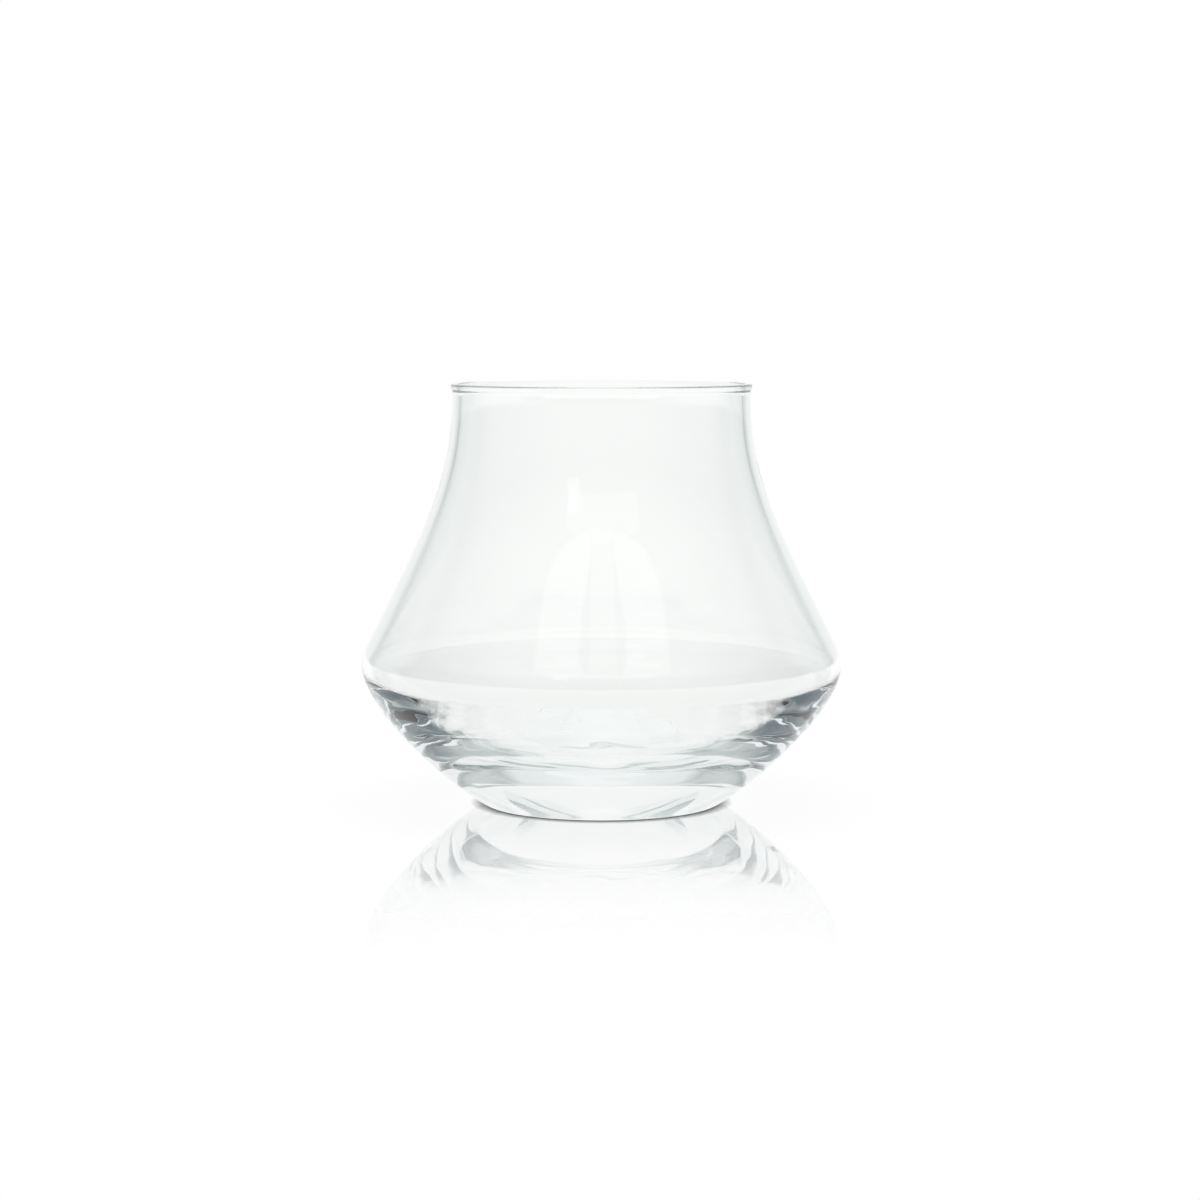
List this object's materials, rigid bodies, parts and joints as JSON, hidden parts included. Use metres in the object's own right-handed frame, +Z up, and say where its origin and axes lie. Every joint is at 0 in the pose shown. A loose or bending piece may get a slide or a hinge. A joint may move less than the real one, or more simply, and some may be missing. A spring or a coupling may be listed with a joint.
{
  "type": "tumbler",
  "caption": "Low round drinking tumbler of clear glass, with a heavy foot, a wide low belly and a drawn-in open neck with a rounded rim.",
  "frame": {"origin": "middle of the foot, on the plane that the glass stands on", "axes": "+Z up the axis of the round body towards the mouth; +X and +Y are level and alike, since the glass is round"},
  "size_m": [0.095, 0.095, 0.0832],
  "materials": {
    "clear_glass": "gloss"
  },
  "bodies": {
    "root": {"tumbler_glass": "clear_glass"}
  },
  "joints": []
}
